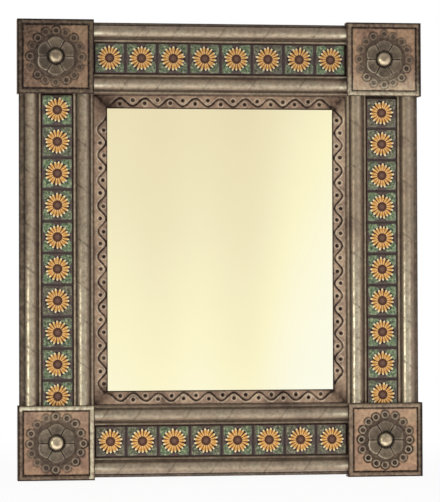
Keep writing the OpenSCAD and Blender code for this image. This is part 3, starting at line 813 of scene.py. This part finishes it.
def round_faces(start, levels, around, first_tip, last_tip):
    """Joins rings of points one after another, and closes each end to a single point."""
    index = start + np.arange(levels * around).reshape(levels, around)
    faces = ring_walls(index)
    for ring, tip in ((index[0], first_tip), (index[-1], last_tip)):
        faces += [[p, q, tip] for p, q in zip(ring, np.roll(ring, -1))]
    return faces


def middle_of(node):
    """The middle of a node's box across and up the picture."""
    low, high = box_of(node)
    return (low[0] + high[0]) / 2, (low[2] + high[2]) / 2


for number, corner in enumerate(corners):
    chance = np.random.default_rng(101 + number)
    middle_x, middle_z = middle_of("rosette_" + corner)
    base = -box_of("rosette_" + corner)[1][1]
    around = 264
    angle = round_angles(around)
    from_slit = (np.degrees(angle) % 60) - 30
    phi = np.radians(from_slit)
    across = from_slit / 30
    reach = petal_reach * np.cos(phi) + np.sqrt(petal_round ** 2 - (petal_reach * np.sin(phi)) ** 2)
    petal = (np.degrees(angle) // 60).astype(int)
    tilt = chance.uniform(-0.25, 0.25, 6)[petal]
    deep = chance.uniform(0.85, 1.1, 6)[petal]
    # Random stains on each petal, plus the cap's painted shade.
    stain_and_shade = chance.uniform(0.0, 0.34, 6)[petal] + 0.3 * corner_shade[corner]
    low_left = np.clip(np.cos(angle - math.radians(222)), 0, 1) ** 2
    points, soot_and_shade, rub_and_sheen = [], [], []
    for r in (*np.linspace(3.0, well - 0.6, 4), well):
        points.append(ring_at(angle, r, seat_rise))
        soot_and_shade.append(np.full(around, 0.9))
        rub_and_sheen.append(np.zeros(around))
    for t in np.linspace(0, 1, 30):
        r = well + 0.5 + t * (reach - well - 0.5)
        dish = (1 - abs(across) ** 2.6) * np.sin(math.pi * np.clip(0.08 + 0.88 * t, 0, 1)) ** 0.75
        rise = petal_rise - 0.25 - 1.6 * deep * dish + tilt * across
        rise = rise + 0.25 * bump_of(abs(across), 0.8, 0.14) * np.sin(math.pi * t)
        slit_gap = r * np.radians(30 - abs(from_slit))
        cut = bump_of(slit_gap, 0.0, 0.75) * np.clip((r - 12.6) / 1.5, 0, 1)
        rise = rise - (rise - seat_rise) * cut
        rise = rise - 0.9 * np.clip((t - 0.95) / 0.05, 0, 1) ** 2
        rise = rise - 0.8 * np.clip((0.05 - t) / 0.05, 0, 1)
        points.append(ring_at(angle, r, np.clip(rise, 0.4, petal_rise)))
        root = 0.95 * bump_of(t, 0.07, 0.09)
        soot_and_shade.append(np.clip(cut + root + stain_and_shade * dish, 0, 1))
        rim = bump_of(t, 0.93, 0.06)
        # Painted highlight: the petals' rims are brightened on the lower left, where the window's light
        # falls.
        petal_rub_and_sheen = (0.12 + rim_highlight[corner] * low_left) * rim + 0.12 * (abs(across) > 0.75)
        rub_and_sheen.append(np.clip(petal_rub_and_sheen + petals_rubbed[corner] * (1 - stain_and_shade) * dish, 0, 1))
    points.append(ring_at(angle, reach + 0.05, 0.0))
    soot_and_shade.append(np.full(around, 0.7))
    rub_and_sheen.append(np.zeros(around))
    levels = len(points)
    last = levels * around
    points = np.concatenate(points + [[[0, 0, seat_rise], [0, 0, 0]]])
    marks = {"soot_and_shade": np.concatenate(soot_and_shade + [[0.9, 0.9]]), "rub_and_sheen": np.concatenate(rub_and_sheen + [[0, 0]])}
    placed = np.column_stack([middle_x + points[:, 0], -(base + points[:, 2]), middle_z + points[:, 1]])
    faces = round_faces(0, levels, around, last, last + 1)
    piece = closed_mesh("pressed_flower_" + corner, placed, faces, marks, [flower_tin], 50)
    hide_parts("rosette_" + corner)
    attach(piece, "mirror")


# The bosses
# Four domed studs, one in each flower, beaten up from tin and soldered to a shank that goes through flower
# and cap. Handling has rubbed them brighter than the rest; the bright rims are partly that wear and partly
# painted highlight, and a painted crescent of light lies low on the left of each.
boss_rise = 7.0
boss_edge = 11.02
shank_r = 2.0
shank_end = -3.4

boss_metal = aged_tin("rubbed_boss_tin", tones(
    (0.30, 92, 79, 63), (0.50, 122, 107, 87), (0.70, 140, 124, 101),
), paint(214, 196, 164), paint(52, 40, 32), 0.32)
crown_rubbed = by_corner(0.0, 0.1, 0.3, 0.16)
rim_wear_and_sheen = by_corner(0.42, 0.6, 0.95, 0.6)

profile = [(shank_r, shank_end), (shank_r, -0.2), (10.2, -0.2), (10.9, 0.0), (11.0, 0.35)]
profile += [(r, boss_rise * (1 - (r / boss_edge) ** 2.7) ** 0.62)
            for r in (10.9, 10.5, *np.linspace(9.6, 0.6, 14))]
boss_top = -box_of("rosette_bosses")[0][1]
boss_seat = boss_top - boss_rise
points, faces, soot_and_shade, rub_and_sheen = [], [], [], []
around = 56
angle = round_angles(around)
for number, corner in enumerate(corners):
    chance = np.random.default_rng(121 + number)
    middle_x, middle_z = middle_of("rosette_" + corner)
    start = sum(len(ring) for ring in points)
    dent = chance.uniform(0, 6.28, 3)
    for r, rise in profile:
        domed = rise > 0.5
        uneven = 0.10 * np.sin(2 * angle + dent[0]) * domed + 0.08 * np.sin(5 * angle + r + dent[1])
        x = r * np.cos(angle)
        z = r * np.sin(angle)
        beaten = 0.12 * domed * (1 + np.sin(x / 2.3 + dent[2]) * np.sin(z / 2.7))
        points.append(np.column_stack([
            middle_x + x * (1 + 0.006 * uneven), beaten - boss_seat - rise,
            middle_z + z * (1 + 0.006 * uneven)]))
        soot_and_shade.append(np.full(around, 0.25 if r > 10.7 else 0.0))
        # Painted highlight: a bright crescent on the lower left of each dome, where the window's light
        # falls.
        low_left = np.clip(np.cos(angle - math.radians(235)), 0, 1) ** 2 * bump_of(r, 6.6, 1.8)
        rub_and_sheen.append(crown_rubbed[corner] + rim_wear_and_sheen[corner] * (min(1.0, r / 9.5) ** 3 + low_left))
    tip = start + len(profile) * around
    points.append([[middle_x, 0.12 - boss_top, middle_z], [middle_x, -boss_seat - shank_end, middle_z]])
    soot_and_shade.append([0.0, 0.0])
    rub_and_sheen.append([crown_rubbed[corner], 0.0])
    faces += round_faces(start, len(profile), around, tip + 1, tip)
marks = {"soot_and_shade": np.concatenate(soot_and_shade), "rub_and_sheen": np.clip(np.concatenate(rub_and_sheen), 0, 1)}
piece = closed_mesh("domed_bosses", np.concatenate(points), faces, marks, [boss_metal], 60)
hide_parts("rosette_bosses")
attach(piece, "mirror")


# The tiles
# Small red-clay tiles with a raised sunflower, glazed by hand and fired: yellow petals
# with pale tips, a brown eye, green leaves in the corners and a dark ground.
tile_thick = 5.5
petal_count = 18
petal_root = 6.6
petal_tip = 19.8
petal_wide = 2.35
eye_reach = 7.7
leaf_root = 17.0
under_reach = 19.4


def glaze(name, colour_of, roughness, coat, bumps, gloss):
    """A fired glaze. colour_of makes its colour from the tree and its noise."""
    made, tree = new_finish(name)
    run = noise(tree, 260.0, 4.0, 0.6)
    fine = noise(tree, 1500.0, 2.0)
    # Painted shade: the glaze is darkened by row, the top row most.
    colour = mixed(tree, mark_of(tree, "row_shade"), colour_of(tree, run, fine), grey(0.01))
    uneven = plus(tree, run, times(tree, fine, 0.4))
    to_surface(tree, shade(tree, "BsdfPrincipled", {
        "Base Color": colour, "Specular IOR Level": gloss, "Coat Weight": coat, "Coat Roughness": 0.22,
        "Roughness": eased(tree, run, 0.3, 0.7, roughness - 0.07, roughness + 0.1),
        "Normal": bumped(tree, uneven, bumps)}))
    return made


def shaken(tree, run, much):
    """The distance out from the flower's middle, made uneven by the glaze's run."""
    return plus(tree, mark_of(tree, "along"), times(tree, plus(tree, run, -0.5), much))


def ground_colour(tree, run, fine):
    base = ramp(tree, run, tones((0.35, 54, 38, 34), (0.55, 78, 58, 52), (0.72, 94, 74, 62)))
    return mixed(tree, eased(tree, fine, 0.55, 0.75, 0.0, 0.3), base, paint(106, 90, 78))


def leaf_colour(tree, run, fine):
    dull = ramp(tree, run, tones(
        (0.36, 46, 36, 28), (0.46, 78, 69, 53), (0.56, 100, 92, 72),
        (0.68, 154, 148, 122)))
    fresh = ramp(tree, run, tones(
        (0.36, 38, 50, 34), (0.45, 80, 102, 68), (0.56, 116, 134, 96),
        (0.68, 176, 184, 146)))
    base = mixed(tree, mark_of(tree, "fire"), dull, fresh)
    return mixed(tree, eased(tree, mark_of(tree, "along"), 0.6, 1.0, 0.0, 0.4), base, paint(156, 158, 128))


def under_colour(tree, run, fine):
    return ramp(tree, shaken(tree, run, 0.30), tones(
        (0.34, 150, 94, 40), (0.54, 108, 62, 24), (0.68, 48, 26, 13),
        (1.0, 24, 13, 8)))


def petal_colour(tree, run, fine):
    body = ramp(tree, shaken(tree, run, 0.25), tones(
        (0.0, 200, 146, 84), (0.12, 240, 188, 120), (0.32, 238, 179, 99),
        (0.54, 216, 154, 73), (0.72, 236, 185, 102), (0.93, 255, 246, 214)))
    return mixed(tree, eased(tree, mark_of(tree, "across"), 0.3, 1.0, 0.0, 0.9), body, paint(134, 80, 32))


def eye_colour(tree, run, fine):
    base = ramp(tree, mark_of(tree, "along"), tones(
        (0.0, 116, 88, 80), (0.42, 106, 74, 62), (0.68, 66, 34, 20),
        (0.88, 84, 44, 20), (1.0, 56, 26, 10)))
    return mixed(tree, eased(tree, fine, 0.5, 0.7, 0.0, 0.4), base, paint(122, 96, 84))


def clay_colour(tree, run, fine):
    return ramp(tree, run, tones((0.3, 110, 66, 48), (0.7, 142, 90, 66)))


tile_finishes = [
    glaze("dark_ground_glaze", ground_colour, 0.42, 0.1, 0.4, 0.4),
    glaze("green_leaf_glaze", leaf_colour, 0.36, 0.25, 0.5, 0.4),
    glaze("brown_under_glaze", under_colour, 0.45, 0.0, 0.3, 0.2),
    glaze("yellow_petal_glaze", petal_colour, 0.36, 0.2, 0.25, 0.35),
    glaze("eye_glaze", eye_colour, 0.50, 0.0, 0.5, 0.2),
    glaze("bare_red_clay", clay_colour, 0.80, 0.0, 0.5, 0.5),
]
on_ground, on_leaf, on_under, on_petal, on_eye, on_clay = range(6)

# The slab, ring by ring from its back: half its width, how round its corners are, height
slab = (
    (23.6, 1.0, 0.0), (23.95, 1.2, 0.4), (23.95, 1.2, tile_thick - 1.0), (23.7, 1.3, tile_thick - 0.4),
    (23.1, 1.5, tile_thick - 0.08), (22.2, 1.8, tile_thick), (18.0, 4.0, tile_thick - 0.05),
    (9.0, 4.0, tile_thick - 0.05),
)
# Rows of points, each with how far out it is and its rise above the slab
leaf_rows = ((0.0, 0.0), (0.25, 0.30), (0.55, 0.42), (0.85, 0.36), (1.0, 0.0))
under_rows = ((under_reach, -0.5), (under_reach, 0.04), (18.7, 0.16), (15.0, 0.22), (8.0, 0.24))
eye_rows = (
    (7.6, -0.4), (eye_reach, 0.60), (7.3, 0.76), (6.3, 0.86), (4.8, 0.92), (3.2, 0.86), (1.6, 0.92))
# The petals' rows: the share of the way out, and the share of the full width there
petal_shares = np.array([0.0, 0.14, 0.3, 0.46, 0.6, 0.72, 0.83, 0.92, 0.98])
petal_widths = np.array([0.46, 0.60, 0.78, 0.93, 1.0, 1.0, 0.88, 0.62, 0.30])
petal_aside = np.array([-1.0, -0.55, 0.0, 0.55, 1.0])
petal_across = [[1.0, 0.5, 0.0, 0.5, 1.0]] * len(petal_shares) + [[0.6, 0.3, 0.0, 0.3, 0.6]]
petal_crown = (0.52 - 0.22 * petal_shares ** 3)[:, None] * (1 - abs(petal_aside) ** 2.2) + 0.10
petal_crown[petal_shares > 0.95] *= 0.6


class TileShape:
    """Collects the closed shells that make one tile, with their glaze and their marks."""

    def __init__(self):
        self.points, self.faces, self.glazes, self.along, self.across = [], [], [], [], []

    def add_points(self, points, along, across):
        self.points += np.asarray(points).reshape(-1, 3).tolist()
        self.along += list(along)
        self.across += list(across)

    def add_faces(self, faces, finish):
        self.faces += np.asarray(faces).tolist()
        self.glazes += [finish] * len(faces)

    def shell(self, rings, finishes, along, tip_height=None):
        """Joins rings of points from the lowest to the highest, and closes both ends."""
        size = len(rings[0])
        index = len(self.points) + np.arange(len(rings) * size).reshape(-1, size)
        beside = np.roll(index, -1, axis=1)
        self.add_points(rings, np.repeat(along, size), np.zeros(index.size))
        for k, finish in enumerate(finishes):
            walls = np.stack([index[k], beside[k], beside[k + 1], index[k + 1]], axis=1)
            self.add_faces(walls, finish)
        self.add_faces([index[0][::-1]], finishes[0])
        if tip_height is None:
            self.add_faces([index[-1]], finishes[-1])
            return
        tip = np.full(size, len(self.points))
        self.add_points([[0, 0, tip_height]], [0.0], [0.0])
        self.add_faces(np.stack([index[-1], beside[-1], tip], axis=1), finishes[-1])

    def plate(self, upper, low_height, finish, along, across):
        """Closes a raised sheet of glaze: a grid of points, and the same grid lower down."""
        rows, wide = upper.shape[:2]
        grid = len(self.points) + np.arange(2 * rows * wide).reshape(2, rows, wide)
        lower = upper.copy()
        lower[:, :, 2] = low_height
        self.add_points([upper, lower], list(np.ravel(along)) * 2, list(np.ravel(across)) * 2)
        squares = np.stack([grid[:, :-1, :-1], grid[:, 1:, :-1], grid[:, 1:, 1:], grid[:, :-1, 1:]], axis=3)
        self.add_faces(squares[0].reshape(-1, 4), finish)
        self.add_faces(squares[1].reshape(-1, 4)[:, ::-1], finish)
        above, below = [np.concatenate([g[0], g[1:, -1], g[-1, -2::-1], g[-2:0:-1, 0]]) for g in grid]
        walls = np.stack([above, np.roll(above, -1), np.roll(below, -1), below], axis=1)
        self.add_faces(walls, finish)


def square_ring(half, corner, height, chance_edges):
    """A square with rounded corners and slightly uneven sides."""
    quarter = np.radians(np.linspace(0, 90, 5))
    rounded = half - corner + corner * np.column_stack([np.cos(quarter), np.sin(quarter)])
    straight = [[(half - corner) * share, half] for share in (0.5, 0.0, -0.5)]
    edges = [np.vstack([rounded, straight])]
    for k in range(3):
        edges.append(edges[-1][:, ::-1] * (-1, 1))
    ring = np.concatenate(edges)
    ring = ring * (1 + chance_edges[:len(ring), None] / half)
    return np.column_stack([ring, np.full(len(ring), height)])


def sunflower_tile(name, node, seed, row_shade):
    """One tile. The last argument is how much painted shade darkens it."""
    chance = np.random.default_rng(seed)
    tile = TileShape()
    uneven = chance.uniform(-0.12, 0.0, 40)
    rings = [square_ring(half, corner, height, uneven) for half, corner, height in slab]
    tile.shell(rings, [on_clay] * 2 + [on_ground] * 5, [0.0] * len(slab))

    for quarter in range(4):
        angles = np.radians(np.linspace(15, 75, 15) + chance.uniform(-2, 2))
        sway = chance.uniform(0, 6.28, 3)
        from_vein = np.degrees(angles) - 45
        ends = np.clip((30 - abs(from_vein)) / 9, 0, 1)
        outer = np.minimum(22.6 / np.cos(angles), 22.6 / np.sin(angles))
        outer = np.minimum(outer - 3.0 * (1 - ends) + 0.35 * np.sin(9 * angles + sway[0]), 31.2)
        leaf, along = [], []
        for t, rise in leaf_rows:
            vein = 0.14 * bump_of(from_vein, 0.0, 5)
            ripple = 0.08 * np.sin(14 * angles + 5 * t + sway[1])
            lift = rise * np.clip(ends * 1.4, 0, 1) + (vein + ripple) * (0 < t < 1)
            r = leaf_root + (outer - leaf_root) * t
            leaf.append(ring_at(angles + math.radians(90 * quarter), r, tile_thick - 0.05 + lift))
            along.append(np.full(len(angles), t) * (0.5 + 0.5 * chance.uniform()))
        tile.plate(np.array(leaf), tile_thick - 0.6, on_leaf, along, np.zeros(len(leaf) * len(angles)))

    angles = round_angles(72)
    ragged = 1 + 0.02 * np.sin(petal_count * angles + chance.uniform(0, 6.28))
    ragged = ragged + 0.012 * np.sin(5 * angles + seed)
    rings = [ring_at(angles, r * ragged, tile_thick + rise) for r, rise in under_rows]
    tile.shell(rings, [on_under] * 4, [r / under_reach for r, rise in under_rows])

    turned = chance.uniform(0, 360 / petal_count)
    for k in range(petal_count):
        angle = math.radians(turned + (k + chance.normal(0, 0.07)) * 360 / petal_count)
        long = petal_tip - (0.9 if k % 2 else 0.0) + chance.normal(0, 0.3)
        wide = petal_wide + chance.normal(0, 0.12)
        out = np.append(petal_root + (long - petal_root) * petal_shares, long)[:, None]
        aside = wide * np.vstack([petal_widths[:, None] * petal_aside, 0.1 * np.linspace(-1, 1, 5)])
        height = tile_thick + np.vstack([petal_crown, np.full(5, 0.1)])
        turn_c, turn_s = math.cos(angle), math.sin(angle)
        petal = np.stack([out * turn_c - aside * turn_s, out * turn_s + aside * turn_c, height], axis=2)
        along = np.repeat(np.append(petal_shares, 1.0), 5)
        tile.plate(petal, tile_thick - 0.3, on_petal, along, petal_across)

    rings, angles = [], round_angles(32)
    for r, rise in eye_rows:
        rough = chance.uniform(-0.07, 0.05, 32) * (0 < rise < 0.95) * (r < 7)
        rings.append(ring_at(angles, r, tile_thick + rise + rough))
    tile.shell(rings, [on_eye] * 6, [r / eye_reach for r, rise in eye_rows], tile_thick + 0.9)

    middle_x, middle_z = middle_of(node)
    back = box_of(node)[1][1]
    local = np.array(tile.points)
    placed = np.column_stack([middle_x + local[:, 0], back - local[:, 2], middle_z + local[:, 1]])
    fire = chance.beta(0.9, 0.7)
    same = np.ones(len(local))
    marks = {"along": tile.along, "across": tile.across, "fire": fire * same, "row_shade": row_shade * same}
    piece = closed_mesh(name, placed, tile.faces, marks, tile_finishes, 55, tile.glazes)
    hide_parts(node)
    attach(piece, "mirror")


# Each row's side, its number of tiles, the seed of its chances, and its painted shade
for row, tiles, seed, row_shade in (
        ("top", 8, 200, 0.22), ("bottom", 8, 300, 0.0), ("left", 10, 400, 0.16), ("right", 10, 500, 0.04)):
    for number in range(1, tiles + 1):
        sunflower_tile(f"sunflower_{row}_{number}", f"tile_{row}_{number}", seed + number, row_shade)


# The mastic
# The tiles are bedded in a grey-brown putty, which has come up in the joints between
# them and set rough.
def plain_finish(name, colours, scale, roughness, metallic, bumps):
    """One material with a cloudy colour, uneven roughness and a fine grain."""
    made, tree = new_finish(name)
    cloud = noise(tree, scale, 5.0, 0.6)
    fine = noise(tree, scale * 9, 3.0)
    body = mixed(tree, 1.0, ramp(tree, cloud, [(0.32, colours[0]), (0.68, colours[1])]),
                 ramp(tree, fine, greys((0.3, 0.84), (0.7, 1.12))), "MULTIPLY")
    to_surface(tree, shade(tree, "BsdfPrincipled", {
        "Base Color": body, "Metallic": metallic, "Normal": bumped(tree, fine, bumps),
        "Roughness": eased(tree, fine, 0.3, 0.7, roughness - 0.06, roughness + 0.08)}))
    return made


def dressed(node, finish):
    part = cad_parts[node]
    part.data.materials.clear()
    part.data.materials.append(finish)


dressed("tile_bedding", plain_finish(
    "set_mastic", (paint(44, 35, 33), paint(70, 58, 53)), 160.0, 0.8, 0.0, 0.8))


# The mirror glass
# One sheet of 3 mm mirror glass, silvered behind, a little warm in tone. It lies in the
# rebate behind the liners' lips, and the card at its back keeps it there.
silvering, tree = new_finish("silvered_glass")
haze = noise(tree, 7.0, 3.0)
silver = ramp(tree, haze, greys((0.3, 0.965), (0.7, 0.985)))
polish = eased(tree, haze, 0.3, 0.8, 0.004, 0.016)
to_surface(tree, shade(tree, "BsdfPrincipled", {"Base Color": silver, "Metallic": 1.0, "Roughness": polish}))
dressed("mirror_glass", silvering)


# The back
# A brown card lies behind the glass, held by folded tin tabs, with flat tin angles over
# the mitres. The ring hangs in a folded strap soldered under the top rail's channel.
dressed("backing_card", plain_finish(
    "brown_card", (paint(150, 122, 84), paint(178, 150, 108)), 60.0, 0.85, 0.0, 0.4))
back_tin = plain_finish(
    "plain_back_tin", (paint(128, 122, 112), paint(158, 152, 140)), 70.0, 0.42, 0.85, 0.3)
for node in ("retaining_tabs", "corner_gussets", "hanger_strap"):
    dressed(node, back_tin)
dressed("hanger_ring", plain_finish(
    "ring_wire", (paint(104, 98, 90), paint(140, 134, 124)), 240.0, 0.38, 0.9, 0.25))
